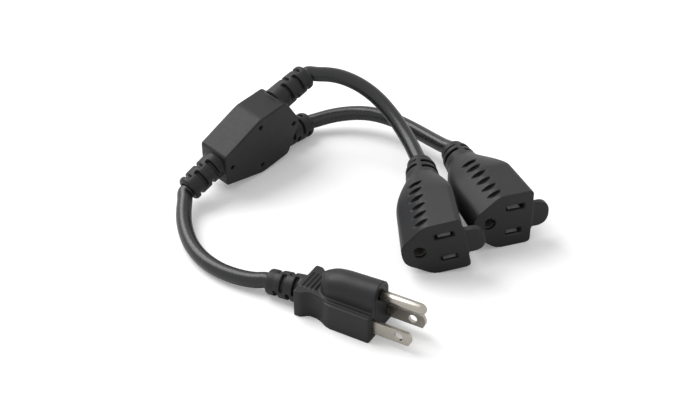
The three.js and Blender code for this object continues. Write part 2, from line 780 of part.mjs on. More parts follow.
function groundHoleOutline() {
  const half = Math.acos(groundHoleFlat / groundHoleRadius);
  const shape = new THREE.Shape();
  shape.absarc(-groundOffset, 0, groundHoleRadius, -Math.PI + half, Math.PI - half, false);
  shape.closePath();
  return shape;
}

// Slots and ground hole with their lead-in chamfers, cut from before the face to a depth
function faceOpenings(depth) {
  const tools = [];
  for (const name of ['neutral', 'line']) {
    const half = slotLengths[name] / 2;
    const z = slotPlaces[name];
    const outline = rectangle(-half, half, z - slotWidth / 2, z + slotWidth / 2);
    tools.push(toSolid(prismX(outline, -depth, cutPast)));
    tools.push(toSolid(leadIn(outline, slotChamfer)));
  }
  tools.push(toSolid(prismX(groundHoleOutline(), -depth, cutPast, { curveSegments: 8 })));
  tools.push(toSolid(leadIn(groundHoleOutline(), slotChamfer * 0.6, 8)));
  return tools;
}

// Tapered cutter whose small end is the outline and which widens to the face
function leadIn(outline, chamfer, curveSegments = 3) {
  return prismX(outline, 0, cutPast, {
    curveSegments, bevelEnabled: true, bevelThickness: chamfer, bevelSize: chamfer, bevelSegments: 1,
  });
}

// Folded spring strip: two leaves that meet behind, pinched towards the throat
function bladeContact(z, halfWidth) {
  const back = -(contactSetback + contactLength);
  const open = contactOpening / 2;
  const throat = contactThroat / 2;
  const strip = contactStrip;
  const front = -contactSetback;
  const pinch = front - contactThroatDepth;
  const fold = back + contactFold;
  const leaf = open - 1.8 * strip;
  const tail = back - crimpLength;
  const outline = roundedShape([
    [back, -open], [pinch, -throat - strip], [front, -open], [front, -open + strip],
    [pinch, -throat], [fold, -leaf], [fold, leaf],
    [pinch, throat], [front, open - strip], [front, open], [pinch, throat + strip], [back, open],
    [back, tailThickness / 2], [tail, tailThickness / 2], [tail, -tailThickness / 2],
    [back, -tailThickness / 2],
  ].reverse());
  return prismY(outline, -halfWidth, halfWidth).translate(0, 0, z);
}

function groundContact() {
  const inner = groundPinRadius + groundContactFit;
  const outer = inner + groundContactWall;
  const back = -(contactSetback + contactLength);
  const shape = new THREE.Shape();
  const slit = THREE.MathUtils.degToRad(groundContactSlit);
  shape.absarc(0, 0, outer, slit, 2 * Math.PI - slit, false);
  shape.absarc(0, 0, inner, 2 * Math.PI - slit, slit, true);
  shape.closePath();
  const barrel = toSolid(prismX(shape, back, -contactSetback, { curveSegments: 8 }));
  const end = toSolid(barX(outer, back - 0.6, back + 0.2, 0, 0, 12));
  const tail = toSolid(barX(tailHalfWidth, back - crimpLength, back - 0.3, 0, 0, 10));
  return joined([barrel, end, tail]).translate([0, -groundOffset, 0]);
}

function connectorTails() {
  return {
    line: [0, slotPlaces.line],
    neutral: [0, slotPlaces.neutral],
    ground: [-groundOffset, 0],
  };
}

function connectorLeadRoutes() {
  const tailEnd = -(contactSetback + contactLength + crimpLength) - clearance;
  const total = connectorNeck + relief.connector.length;
  const bundle = bundleAt([-total, connectorAxisOffset, 0], 0, 0, 0);
  const routes = {};
  const order = { neutral: 0, ground: 1, line: 2 };
  const tails = connectorTails();
  for (const name of conductors) {
    const [, by, bz] = bundle[order[name]];
    const [y, z] = tails[name];
    routes[name] = [
      [tailEnd, y, z], [tailEnd - leadStraight, y, z],
      [tailEnd - leadBend, y + (by - y) * 0.6, z + (bz - z) * 0.6],
      [-connectorNeck + 2, by, bz], [-connectorNeck - leadInside, by, bz], [-total, by, bz],
    ];
  }
  return routes;
}

function buildConnector(name) {
  const group = frameOf(placing[name]);
  const carrierFront = connectorFaceWall;
  const carrierBack = carrierFront + carrierLength;
  const reliefSolid = aim(slottedRelief('connector'), [-connectorNeck, connectorAxisOffset, 0], 0);
  const routes = connectorLeadRoutes();
  const channels = conductors.map((conductor) => channel(routes[conductor]));
  const pocketOutline = connectorOutline(connectorWall, connectorInnerEdgeRadius);
  const pocket = toSolid(prismX(pocketOutline, -carrierBack - clearance, -carrierFront + clearance));
  const tailEnd = -(contactSetback + contactLength + crimpLength) - cutPast;
  const tailRoom = Object.values(connectorTails()).map(([y, z]) => toSolid(
    barX(tailHalfWidth + 2 * clearance, tailEnd, -carrierBack + cutPast, y, z, 10),
  ));
  const body = cut(
    joined([connectorShell(), tab(), reliefSolid]),
    [...gripGrooves(), pocket, ...tailRoom, ...channels, ...faceOpenings(carrierFront + cutPast)],
  );
  addPiece(group, `${name}_body`, body, mouldedBlack());

  const carrierTools = faceOpenings(contactSetback + cutPast);
  const roomFront = -(contactSetback - clearance);
  const roomBack = -carrierBack - cutPast;
  for (const z of Object.values(slotPlaces)) {
    const tall = contactOpening / 2 + clearance;
    const wide = contactWidth / 2 + clearance;
    carrierTools.push(toSolid(prismX(rectangle(-wide, wide, z - tall, z + tall), roomBack, roomFront)));
  }
  const groundRoom = groundPinRadius + groundContactFit + groundContactWall + clearance;
  carrierTools.push(toSolid(barX(groundRoom, roomBack, roomFront, -groundOffset, 0)));
  const carrierOutline = connectorOutline(connectorWall + clearance, connectorInnerEdgeRadius);
  const carrier = toSolid(prismX(carrierOutline, -carrierBack, -carrierFront));
  addPiece(group, `${name}_carrier`, cut(carrier, carrierTools), innerGrey());
  for (const [slot, z] of Object.entries(slotPlaces)) {
    addPiece(group, `${name}_${slot}_contact`, bladeContact(z, contactWidth / 2), contactMetal());
  }
  addPiece(group, `${name}_ground_contact`, groundContact(), contactMetal());
  for (const conductor of conductors) {
    const colour = leadColours[conductor];
    addPiece(group, `${name}_${conductor}_lead`, lead(routes[conductor]), material(colour, 0.5, 0));
  }
  return group;
}

// The whole splitter

const splitter = new THREE.Group();
splitter.add(buildPlug());
splitter.add(buildJunction());
splitter.add(buildConnector('connector_a'));
splitter.add(buildConnector('connector_b'));
addPiece(splitter, 'supply_cord', tube(supplyRoute, cordRadius, cordSides, cordSteps), cordBlack());
addPiece(splitter, 'outlet_cord_a', tube(outletRouteA, cordRadius, cordSides, cordSteps), cordBlack());
addPiece(splitter, 'outlet_cord_b', tube(outletRouteB, cordRadius, cordSides, cordSteps), cordBlack());

export default splitter;
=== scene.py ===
"""Looks of the power cord splitter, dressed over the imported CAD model.

Moulded pieces are modelled in millimetres in a frame of their own, as in the CAD: +X points away
from the cord and +Z is up. Each is softened like a moulding, then placed in the row frame in metres.
"""
import math

import bmesh
import bpy
import numpy as np
from mathutils import Euler, Matrix, Vector


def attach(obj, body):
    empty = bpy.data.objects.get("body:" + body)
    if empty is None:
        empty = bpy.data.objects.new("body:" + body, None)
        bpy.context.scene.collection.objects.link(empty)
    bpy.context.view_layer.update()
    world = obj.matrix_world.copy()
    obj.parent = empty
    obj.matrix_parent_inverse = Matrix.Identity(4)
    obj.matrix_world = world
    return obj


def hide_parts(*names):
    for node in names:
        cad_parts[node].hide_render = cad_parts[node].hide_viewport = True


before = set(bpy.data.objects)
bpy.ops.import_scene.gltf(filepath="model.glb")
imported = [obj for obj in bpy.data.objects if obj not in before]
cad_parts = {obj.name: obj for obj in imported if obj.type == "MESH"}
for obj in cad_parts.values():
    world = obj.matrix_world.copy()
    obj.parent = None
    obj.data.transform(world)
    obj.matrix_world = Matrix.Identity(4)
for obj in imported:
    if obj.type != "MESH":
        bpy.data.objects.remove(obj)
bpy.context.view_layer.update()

MM = 0.001
CUT_PAST = 1.0

# The cords shown are thinner than the cords they stand for, so that they stay in the CAD's box
CORD_RADIUS = 3.48
CORD_INTO_RELIEF = 0.9

# Where each piece's own frame lies: position in mm, then yaw, pitch and roll in degrees
PLACING = {
    "plug": ((7.35, -65.59, 0), (-29.5, 0, 0)),
    "junction": ((-66.65, 30.91, 14.95), (47.4, -6.2, 5.7)),
    "connector_a": ((35.85, -29.49, 14.56), (-84.95, 3.2, 13.1)),
    "connector_b": ((66.25, -9.19, 13.75), (-70.1, -1, -1.4)),
}

# Voxel size in mm and rounds of smoothing for each kind of moulding
SOFTENING = {"plug": (0.3, 5), "junction": (0.32, 5), "connector": (0.33, 3)}

# Cord routes, the same points as in the CAD, in metres
ROUTES = {
    "supply_cord": [
        (-0.07834, 0.01883, 0.00879), (-0.07919, 0.01796, 0.00834), (-0.07905, 0.01341, 0.00750),
        (-0.07905, 0.00761, 0.00650), (-0.07865, 0.00211, 0.00570), (-0.07765, -0.00359, 0.00510),
        (-0.07615, -0.00899, 0.00460), (-0.07415, -0.01439, 0.00430), (-0.07155, -0.01939, 0.00410),
        (-0.06835, -0.02409, 0.00400), (-0.06455, -0.02839, 0.00400), (-0.06025, -0.03209, 0.00400),
        (-0.05555, -0.03519, 0.00420), (-0.05045, -0.03779, 0.00450), (-0.04515, -0.03969, 0.00500),
        (-0.04075, -0.04057, 0.00567), (-0.03956, -0.04109, 0.00573),
    ],
    "outlet_cord_a": [
        (-0.02575, 0.07326, 0.03584), (-0.02489, 0.07418, 0.03613), (-0.02035, 0.07421, 0.03580),
        (-0.01445, 0.07431, 0.03540), (-0.00915, 0.07361, 0.03460), (-0.00385, 0.07201, 0.03320),
        (0.00095, 0.06961, 0.03160), (0.00535, 0.06661, 0.02970), (0.00925, 0.06301, 0.02770),
        (0.01265, 0.05901, 0.02560), (0.01575, 0.05461, 0.02360), (0.01845, 0.04991, 0.02180),
        (0.02085, 0.04501, 0.02020), (0.02295, 0.04001, 0.01890), (0.02475, 0.03471, 0.01770),
        (0.02614, 0.03055, 0.01693), (0.02626, 0.02926, 0.01686),
    ],
    "outlet_cord_b": [
        (-0.02590, 0.07754, 0.00595), (-0.02504, 0.07851, 0.00584), (-0.02055, 0.07981, 0.00660),
        (-0.01465, 0.08121, 0.00760), (-0.00895, 0.08171, 0.00850), (-0.00305, 0.08141, 0.00930),
        (0.00265, 0.08011, 0.01000), (0.00815, 0.07801, 0.01030), (0.01335, 0.07511, 0.01040),
        (0.01815, 0.07171, 0.01040), (0.02275, 0.06781, 0.01030), (0.02695, 0.06361, 0.01040),
        (0.03095, 0.05921, 0.01060), (0.03475, 0.05461, 0.01110), (0.03845, 0.04991, 0.01190),
        (0.04136, 0.04635, 0.01280), (0.04180, 0.04513, 0.01282),
    ],
}

# Camera

CAMERA_AT = (-0.00515, -0.56409, 0.43509)
CAMERA_PITCH = 36.651
SENSOR = 36.0
LENS = 82.6


def add_camera():
    data = bpy.data.cameras.new("view")
    data.sensor_width = SENSOR
    data.lens = LENS
    data.clip_start = 0.01
    camera = bpy.data.objects.new("view", data)
    camera.location = CAMERA_AT
    camera.rotation_euler = Euler((math.radians(90 - CAMERA_PITCH), 0, 0))
    bpy.context.scene.collection.objects.link(camera)
    bpy.context.scene.camera = camera


# Mesh helpers, all in mm


def new_object(name, verts, faces):
    mesh = bpy.data.meshes.new(name)
    mesh.from_pydata([tuple(v) for v in verts], [], faces)
    bm = bmesh.new()
    bm.from_mesh(mesh)
    bmesh.ops.remove_doubles(bm, verts=bm.verts, dist=1e-5)
    bmesh.ops.recalc_face_normals(bm, faces=bm.faces)
    bm.to_mesh(mesh)
    bm.free()
    obj = bpy.data.objects.new(name, mesh)
    bpy.context.scene.collection.objects.link(obj)
    return obj


def loft(name, rings):
    """Closed solid through rings of equal count, with a flat cap at both ends."""
    count = len(rings[0])
    verts = [p for ring in rings for p in ring]
    faces = []
    for r in range(len(rings) - 1):
        for i in range(count):
            j = (i + 1) % count
            a = r * count
            faces.append((a + i, a + j, a + count + j, a + count + i))
    last = (len(rings) - 1) * count
    faces.append(tuple(range(count))[::-1])
    faces.append(tuple(range(last, last + count)))
    return new_object(name, verts, faces)


def lift(axis, along, u, v):
    return {"x": (along, u, v), "y": (u, along, v), "z": (u, v, along)}[axis]


def prism(outline, axis, low, high):
    return loft("prism", [[lift(axis, along, u, v) for u, v in outline] for along in (low, high)])


def taper(outline, grown, low, high):
    """Solid along X from one outline at low to a larger one at high."""
    return loft("taper", [[(low, *p) for p in outline], [(high, *p) for p in grown]])


def turned(profile, sides=64):
    """Solid turned round X from (x, radius) rows that start and end on the axis."""
    verts, faces = [], []
    rows = []
    for x, radius in profile:
        if radius < 1e-6:
            rows.append([len(verts)])
            verts.append((x, 0, 0))
            continue
        row = []
        for i in range(sides):
            turn = 2 * math.pi * i / sides
            row.append(len(verts))
            verts.append((x, radius * math.cos(turn), radius * math.sin(turn)))
        rows.append(row)
    for a, b in zip(rows, rows[1:]):
        for i in range(sides):
            j = (i + 1) % sides
            if len(a) == 1:
                faces.append((a[0], b[j], b[i]))
            elif len(b) == 1:
                faces.append((a[i], a[j], b[0]))
            else:
                faces.append((a[i], a[j], b[j], b[i]))
    return new_object("turned", verts, faces)


def rounded(corners, arc=6, fill=0):
    """Outline from (u, v, corner radius) rows; fill adds points along the straights."""
    count = len(corners)
    points = []
    for i, (u, v, radius) in enumerate(corners):
        here = np.array((u, v), float)
        before = np.array(corners[i - 1][:2], float)
        after = np.array(corners[(i + 1) % count][:2], float)
        if radius <= 0:
            points.append(tuple(here))
            continue
        start = here + (before - here) / np.linalg.norm(before - here) * radius
        end = here + (after - here) / np.linalg.norm(after - here) * radius
        for k in range(arc + 1):
            t = k / arc
            points.append(tuple((1 - t) ** 2 * start + 2 * t * (1 - t) * here + t * t * end))
    if not fill:
        return points
    dense = []
    for i, p in enumerate(points):
        q = points[(i + 1) % len(points)]
        pieces = max(1, int(math.dist(p, q) / fill))
        for k in range(pieces):
            t = k / pieces
            dense.append((p[0] + (q[0] - p[0]) * t, p[1] + (q[1] - p[1]) * t))
    return dense


def rectangle(u0, u1, v0, v1):
    return [(u0, v0), (u1, v0), (u1, v1), (u0, v1)]


def arc_block(x0, x1, inner, outer, middle, half, sides=14):
    """Part of a ring round X, centred on an angle in degrees."""
    low, high = math.radians(middle - half), math.radians(middle + half)
    turns = [low + (high - low) * i / sides for i in range(sides + 1)]
    outline = [(outer * math.cos(t), outer * math.sin(t)) for t in turns]
    outline += [(inner * math.cos(t), inner * math.sin(t)) for t in reversed(turns)]
    return prism(outline, "x", x0, x1)


def bar(radius, x0, x1, sides=32):
    return turned([(x0, 0), (x0, radius), (x1, radius), (x1, 0)], sides)


def turn_matrix(at, turn):
    yaw, pitch, roll = (math.radians(t) for t in turn)
    turned_by = Matrix.Rotation(yaw, 4, "Z") @ Matrix.Rotation(pitch, 4, "Y") @ Matrix.Rotation(roll, 4, "X")
    return Matrix.Translation(at) @ turned_by


def moved(obj, at, turn=(0, 0, 0)):
    obj.data.transform(turn_matrix(at, turn))
    return obj


def evaluated(obj, name):
    """The object's mesh after its modifiers, as a plain object."""
    graph = bpy.context.evaluated_depsgraph_get()
    mesh = bpy.data.meshes.new_from_object(obj.evaluated_get(graph))
    result = bpy.data.objects.new(name, mesh)
    bpy.context.scene.collection.objects.link(result)
    return result


def discard(objects):
    for obj in objects:
        bpy.data.objects.remove(obj)


def combine(name, base, added=(), removed=()):
    """Base with solids added, then others removed."""
    for other, operation in [(o, "UNION") for o in added] + [(o, "DIFFERENCE") for o in removed]:
        step = base.modifiers.new(operation, "BOOLEAN")
        step.operation = operation
        step.object = other
        step.solver = "MANIFOLD"
    result = evaluated(base, name)
    discard([base, *added, *removed])
    return result


def softened(obj, name, kind):
    """Moulded look: an even skin whose edges and corners are rounded over."""
    voxel, rounds = SOFTENING[kind]
    remesh = obj.modifiers.new("skin", "REMESH")
    remesh.mode = "VOXEL"
    remesh.voxel_size = voxel
    smooth = obj.modifiers.new("round", "SMOOTH")
    smooth.factor = 0.5
    smooth.iterations = rounds
    result = evaluated(obj, name)
    discard([obj])
    return result


def placed(obj, name):
    """Puts a piece drawn in mm into the row frame, in metres."""
    at, turn = PLACING[name]
    obj.data.transform(Matrix.Scale(MM, 4) @ turn_matrix(at, turn))
    obj.data.polygons.foreach_set("use_smooth", [True] * len(obj.data.polygons))
    obj.data.update()
    return obj


def finish_piece(obj, material, node):
    obj.data.materials.clear()
    obj.data.materials.append(material)
    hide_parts(node)
    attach(obj, "root")


# Materials

PLATING_SHADE = 0.86


def make_material(name, color, roughness, metallic=0.0, specular=0.5):
    material = bpy.data.materials.new(name)
    material.use_nodes = True
    shader = material.node_tree.nodes["Principled BSDF"]
    shader.inputs["Base Color"].default_value = (*color, 1)
    shader.inputs["Roughness"].default_value = roughness
    shader.inputs["Metallic"].default_value = metallic
    shader.inputs["Specular IOR Level"].default_value = specular
    return material, shader


def noise(material, scale, detail, stretch=(1, 1, 1)):
    nodes, links = material.node_tree.nodes, material.node_tree.links
    source = nodes.new("ShaderNodeTexCoord")
    mapping = nodes.new("ShaderNodeMapping")
    mapping.inputs["Scale"].default_value = stretch
    texture = nodes.new("ShaderNodeTexNoise")
    texture.inputs["Scale"].default_value = scale
    texture.inputs["Detail"].default_value = detail
    links.new(source.outputs["Object"], mapping.inputs["Vector"])
    links.new(mapping.outputs["Vector"], texture.inputs["Vector"])
    return texture


def ranged(material, texture, socket, low, high, start=0.3, end=0.7):
    nodes, links = material.node_tree.nodes, material.node_tree.links
    remap = nodes.new("ShaderNodeMapRange")
    remap.inputs["From Min"].default_value = start
    remap.inputs["From Max"].default_value = end
    remap.inputs["To Min"].default_value = low
    remap.inputs["To Max"].default_value = high
    links.new(texture.outputs["Fac"], remap.inputs["Value"])
    links.new(remap.outputs["Result"], socket)


def bumped(material, shader, textures):
    """Stacks bumps from (texture, strength, distance in metres) rows."""
    nodes, links = material.node_tree.nodes, material.node_tree.links
    previous = None
    for texture, strength, distance in textures:
        bump = nodes.new("ShaderNodeBump")
        bump.inputs["Strength"].default_value = strength
        bump.inputs["Distance"].default_value = distance
        links.new(texture.outputs["Fac"], bump.inputs["Height"])
        if previous is not None:
            links.new(previous.outputs["Normal"], bump.inputs["Normal"])
        previous = bump
    links.new(previous.outputs["Normal"], shader.inputs["Normal"])


def tinted(material, shader, texture, dark, light, start=0.35, end=0.65):
    nodes, links = material.node_tree.nodes, material.node_tree.links
    ramp = nodes.new("ShaderNodeValToRGB")
    ramp.color_ramp.elements[0].position = start
    ramp.color_ramp.elements[0].color = (*dark, 1)
    ramp.color_ramp.elements[1].position = end
    ramp.color_ramp.elements[1].color = (*light, 1)
    links.new(texture.outputs["Fac"], ramp.inputs["Fac"])
    links.new(ramp.outputs["Color"], shader.inputs["Base Color"])


def moulded_black():
    material, shader = make_material("moulded_black", (0.0145, 0.0147, 0.016), 0.44, specular=0.27)
    broad = noise(material, 90, 3)
    grain = noise(material, 2600, 2)
    pits = noise(material, 900, 4)
    tinted(material, shader, broad, (0.0135, 0.0137, 0.015), (0.0155, 0.0158, 0.0172))
    ranged(material, pits, shader.inputs["Roughness"], 0.39, 0.49)
    bumped(material, shader, [(grain, 0.3, 0.00006), (pits, 0.12, 0.0001)])
    return material


def cord_black():
    material, shader = make_material("cord_black", (0.0125, 0.013, 0.0142), 0.28, specular=0.45)
    broad = noise(material, 80, 3)
    ripple = noise(material, 260, 3)
    scuffs = noise(material, 900, 4)
    tinted(material, shader, broad, (0.011, 0.0115, 0.0128), (0.014, 0.0145, 0.0158))
    ranged(material, scuffs, shader.inputs["Roughness"], 0.23, 0.34)
    bumped(material, shader, [(ripple, 0.12, 0.0002), (scuffs, 0.1, 0.00006)])
    return material


def inner_grey():
    material, shader = make_material("inner_grey", (0.013, 0.0132, 0.0145), 0.5, specular=0.34)
    grain = noise(material, 1500, 3)
    ranged(material, grain, shader.inputs["Roughness"], 0.42, 0.6)
    bumped(material, shader, [(grain, 0.2, 0.00006)])
    return material


def plated(name, color, low, high, stretch=(1, 1, 1), metallic=1.0):
    """Metal whose roughness runs from low to high; stretch draws its grain out."""
    material, shader = make_material(name, color, low, metallic)
    drawn = noise(material, 500, 5, stretch=stretch)
    broad = noise(material, 120, 3)
    ranged(material, drawn, shader.inputs["Roughness"], low, high)
    tinted(material, shader, broad, tuple(c * PLATING_SHADE for c in color), color)
    bumped(material, shader, [(drawn, 0.12, 0.00005)])
    return material


def insulation(name, color):
    material, shader = make_material(name, color, 0.45)
    grain = noise(material, 1200, 2)
    ranged(material, grain, shader.inputs["Roughness"], 0.38, 0.52)
    bumped(material, shader, [(grain, 0.1, 0.00005)])
    return material


# Strain reliefs

RELIEF = {
    "plug": dict(length=16.6, root=3.0, base=6.3, waist=5.8, collar=5.6, collar_length=5.0),
    "junction": dict(length=17.5, root=4.0, base=6.2, waist=6.0, collar=6.0, collar_length=5.5),
    "connector": dict(length=14.5, root=3.0, base=7.9, waist=6.9, collar=5.9, collar_length=4.0),
}
# Rounding of the collar's end: steps along it and down from its radius
COLLAR_ROUND = [(0, 1.1), (0.4, 0.4), (1.2, 0)]
COLLAR_STEP = 0.4
BASE_STRAIGHT = 0.5
CORD_RECESS = 1.0
RECESS_ROOM = 0.45
RELIEF_SLOT_WIDTH = 1.8
RELIEF_SLOT_FLOOR = 4.26
RELIEF_SLOT_REACH = 12
RELIEF_SLOT_ROWS = 2
RELIEF_PITCH = {"plug": 5.9, "junction": 7.2, "connector": 4.1}
RELIEF_FIRST_SLOT = {"plug": 2.6, "junction": 3.0, "connector": 3.6}
# Direction of each slot in degrees, and its shift as a share of the pitch
RELIEF_SLOT_SIDES = {
    "plug": [(135, 0), (-45, 0), (45, 0.5), (-135, 0.5)],
    "junction": [(135, 0), (-45, 0), (45, 0.5), (-135, 0.5)],
    "connector": [(0, 0), (180, 0.5)],
}
RELIEF_SLOT_HALF = {"plug": 46, "junction": 48, "connector": 82}


def relief(kind):
    """Relief along -X from x = 0, its slots, and the recess round the cord at its end."""
    size = RELIEF[kind]
    waist_end = -(size["length"] - size["collar_length"])
    end = -size["length"]
    solid = turned([
        (end, 0), *[(end + along, size["collar"] - down) for along, down in COLLAR_ROUND],
        (waist_end - COLLAR_STEP, size["collar"]), (waist_end, size["waist"]),
        (-BASE_STRAIGHT, size["base"]), (size["root"], size["base"]), (size["root"], 0),
    ])
    cutters = [bar(CORD_RADIUS + RECESS_ROOM, end - CUT_PAST, end + CORD_RECESS)]
    half = RELIEF_SLOT_WIDTH / 2
    for direction, shift in RELIEF_SLOT_SIDES[kind]:
        for row in range(RELIEF_SLOT_ROWS):
            x = -(RELIEF_FIRST_SLOT[kind] + (row + shift) * RELIEF_PITCH[kind])
            cutters.append(arc_block(
                x - half, x + half, RELIEF_SLOT_FLOOR, RELIEF_SLOT_REACH, direction, RELIEF_SLOT_HALF[kind],
            ))
    return combine(f"{kind}_relief", solid, removed=cutters)


# Plug

BLADE_SPACING = 12.7
BLADE_WIDTH = 6.35
BLADE_THICKNESS = 1.5
BLADE_LENGTH = 17.6
BLADE_TIP = 1.1
BLADE_TIP_SIDE = 2.2
BLADE_SHOULDER = 8.0
BLADE_HOLE_AT = 11.9
BLADE_HOLE_RADIUS = 1.95
BLADE_EDGE = 0.22
TAIL_START = 7.0
TAIL_END = 13.0
TAIL_HALF = 1.3
TAIL_HALF_THICKNESS = 0.7
PIN_RADIUS = 2.4
PIN_STRAIGHT = 17.6
PIN_TIP = [(18.6, 2.28), (19.4, 2.0), (20.1, 1.5), (20.55, 0.9), (20.8, 0)]
PLUG_HEIGHT = 13.0
PLUG_MID = PLUG_HEIGHT / 2
PLUG_HALF = 10.3
PLUG_LENGTH = 36.0
WAIST_HALF = 7.2
WING_HALF = 9.7
GROUND_OFFSET = 11.9
DOME_HALF = 6.8
DOME_HEIGHT = 24.0
DOME_LENGTH = 27.0
DOME_STEPS = 27
DOME_ARC = 24
DOME_SINK = 3.0
DOME_FALL = 1.6
DOME_REAR_FALL = 2.6
DOME_REAR_START = 0.55
DOME_END_POWER = 2.4
BRIDGE_DEPTH = 10.0
BRIDGE_ROOM = 0.3
POCKET_WALL = 2.2
LEDGE_WIDTH = 1.3
LEDGE_HEIGHT = 0.9
RIB_COUNT = 4
RIB_START = 28.4
RIB_PITCH = 2
RIB_HALF_LENGTH = 5
RIB_LOW = 12
RIB_RISE = 0.7
RIB_FOOT = 0.75
RIB_CREST = 0.35
PLUG_RELIEF_SWEEP = 6
PLUG_RELIEF_DROOP = 2.6


def mirrored_plan(half):
    return [(x, -y, r) for x, y, r in reversed(half)] + half


def plug_dome():
    """The dome's crown falls to the rear, where its end is rounded in plan."""
    rings = []
    spring = DOME_HEIGHT - DOME_HALF
    low = PLUG_HEIGHT - DOME_SINK
    for s in range(DOME_STEPS + 1):
        back = s / DOME_STEPS
        x = -DOME_LENGTH * back
        rear = max(0.0, (back - DOME_REAR_START) / (1 - DOME_REAR_START))
        fall = DOME_FALL * back + DOME_REAR_FALL * rear ** 2
        past = max(0.0, -x - (DOME_LENGTH - DOME_HALF)) / DOME_HALF
        half = DOME_HALF * math.sqrt(max(0.02, 1 - past ** DOME_END_POWER))
        ring = [(x, -half, low), (x, half, low)]
        for k in range(DOME_ARC + 1):
            turn = math.pi * k / DOME_ARC
            z = spring + DOME_HALF * math.sin(turn)
            high = (z - PLUG_HEIGHT) / (DOME_HEIGHT - PLUG_HEIGHT)
            ring.append((x, half * math.cos(turn), z - fall * high))
        rings.append(ring)
    return loft("dome", rings)


def bridge_outline(inset):
    half, neck = PLUG_HALF - inset, DOME_HALF - inset
    top, crown = PLUG_HEIGHT - inset, DOME_HEIGHT - inset
    return rounded([
        (-half, inset, 1), (half, inset, 1), (half, top, 1), (neck, top, 0),
        (neck, crown, neck * 0.8), (-neck, crown, neck * 0.8), (-neck, top, 0), (-half, top, 1),
    ])


def plug_plan(ledge=0.0):
    """Plan of the box, the waist and the wings; a ledge draws in the box alone."""
    box = PLUG_HALF - ledge
    return rounded(mirrored_plan([
        (0, box, 0.8), (-20, box, 2.5), (-25, WAIST_HALF, 3), (-29.8, WAIST_HALF, 1.8),
        (-32.6, WING_HALF, 1.1), (-PLUG_LENGTH, WING_HALF, 1.0),
    ]))


def build_plug(black, metal):
    low = prism(plug_plan(), "z", 0, PLUG_HEIGHT - LEDGE_HEIGHT)
    base = combine("plug_base", low, added=[prism(plug_plan(LEDGE_WIDTH), "z", 1, PLUG_HEIGHT)])
    ribs = []
    top = PLUG_HEIGHT + RIB_RISE
    for i in range(RIB_COUNT):
        x = -RIB_START - RIB_PITCH * i
        outline = [
            (x - RIB_FOOT, RIB_LOW), (x + RIB_FOOT, RIB_LOW), (x + RIB_CREST, top), (x - RIB_CREST, top),
        ]
        ribs.append(prism(outline, "y", -RIB_HALF_LENGTH, RIB_HALF_LENGTH))
    strain = moved(relief("plug"), (-PLUG_LENGTH, 0, PLUG_MID), (PLUG_RELIEF_SWEEP, -PLUG_RELIEF_DROOP, 0))
    pocket = prism(bridge_outline(POCKET_WALL), "x", -BRIDGE_DEPTH - BRIDGE_ROOM, CUT_PAST)
    body = combine("plug_body", base, added=[plug_dome(), strain, *ribs], removed=[pocket])
    body = softened(body, "plug_shell", "plug")
    finish_piece(placed(body, "plug"), black, "plug_body")

    half = BLADE_WIDTH / 2
    tip = BLADE_LENGTH - BLADE_TIP
    side_of_tip = half - BLADE_TIP_SIDE
    outline = rounded([
        (-BLADE_SHOULDER, -half, 0), (tip, -half, 0.4), (BLADE_LENGTH, -side_of_tip, 0.5),
        (BLADE_LENGTH, side_of_tip, 0.5), (tip, half, 0.4), (-BLADE_SHOULDER, half, 0),
    ])
    tail_outline = rectangle(-TAIL_END, -TAIL_START, -TAIL_HALF, TAIL_HALF)
    for name, side in (("line_blade", 1), ("neutral_blade", -1)):
        y = side * BLADE_SPACING / 2
        plate = prism(outline, "y", y - BLADE_THICKNESS / 2, y + BLADE_THICKNESS / 2)
        tail = prism(tail_outline, "y", y - TAIL_HALF_THICKNESS, y + TAIL_HALF_THICKNESS)
        hole = bar(BLADE_HOLE_RADIUS, -5, 5, sides=48)
        moved(hole, (BLADE_HOLE_AT, y, 0), (90, 0, 0))
        piece = combine(name + "_plate", plate, added=[tail], removed=[hole])
        moved(piece, (0, 0, PLUG_MID))
        edge = piece.modifiers.new("edge", "BEVEL")
        edge.width = BLADE_EDGE
        edge.segments = 3
        edge.limit_method = "ANGLE"
        shown = evaluated(piece, name + "_shown")
        discard([piece])
        placed(shown, "plug")
        shown.data.polygons.foreach_set("use_smooth", [False] * len(shown.data.polygons))
        finish_piece(shown, metal, name)

    pin = turned([
        (-TAIL_END, 0), (-TAIL_END, TAIL_HALF), (-BLADE_SHOULDER, TAIL_HALF), (-BLADE_SHOULDER, PIN_RADIUS),
        (PIN_STRAIGHT, PIN_RADIUS), *PIN_TIP,
    ], 48)
    moved(pin, (0, 0, PLUG_MID + GROUND_OFFSET))
    pin.name = "ground_pin_shown"
    finish_piece(placed(pin, "plug"), metal, "ground_pin")


# Junction

JUNCTION_THICKNESS = 15.9
# Half of the outline from the supply cord on, then its tip: x, z and corner radius
JUNCTION_HALF = [(0, 8.5, 1), (22.7, 16.2, 2), (39.7, 15.8, 2)]
JUNCTION_TIP = (48, 0, 3)
SUPPLY_DROOP = 14
OUTLET_AT = 43
OUTLET_SIDE = 12.3
# Side and angle of outlet cords a and b
OUTLETS = [(1, 7), (-1, -11)]
PIN_MARKS = [(4, 0), (44, 0), (22.7, 11.5), (22.7, -11.5)]
PIN_MARK_RADIUS = 1.15
PIN_MARK_DEPTH = 3


